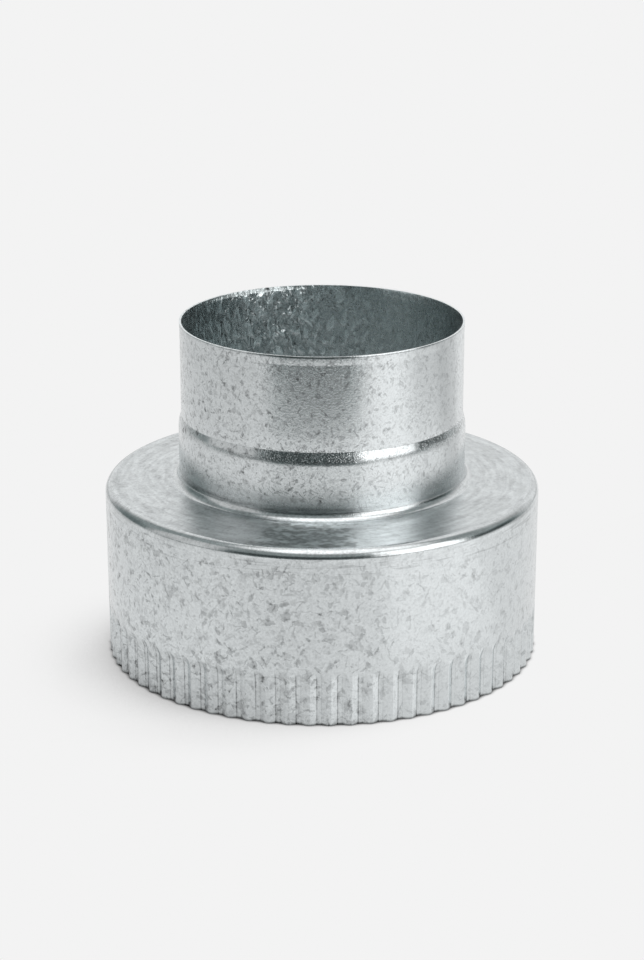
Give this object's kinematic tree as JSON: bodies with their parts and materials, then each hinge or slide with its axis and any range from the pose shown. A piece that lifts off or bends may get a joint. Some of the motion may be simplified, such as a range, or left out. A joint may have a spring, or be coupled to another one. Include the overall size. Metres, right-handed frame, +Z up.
{
  "type": "duct reducer",
  "caption": "Round sheet-steel duct reducer: a wide body with a crimped male end, a sloping shoulder and a narrow stepped collar for a hose or smaller pipe.",
  "frame": {"origin": "on the duct's axis, in the plane of the crimped edge that the part stands on", "axes": "+Z up along the duct's axis, from the crimped end towards the collar; X and Y lie in the plane of the crimped edge"},
  "size_m": [0.1524, 0.1524, 0.1187],
  "materials": {
    "galvanised_sheet": "bright spangled galvanised sheet"
  },
  "bodies": {
    "root": {"reducer_shell": "galvanised_sheet"}
  },
  "joints": []
}
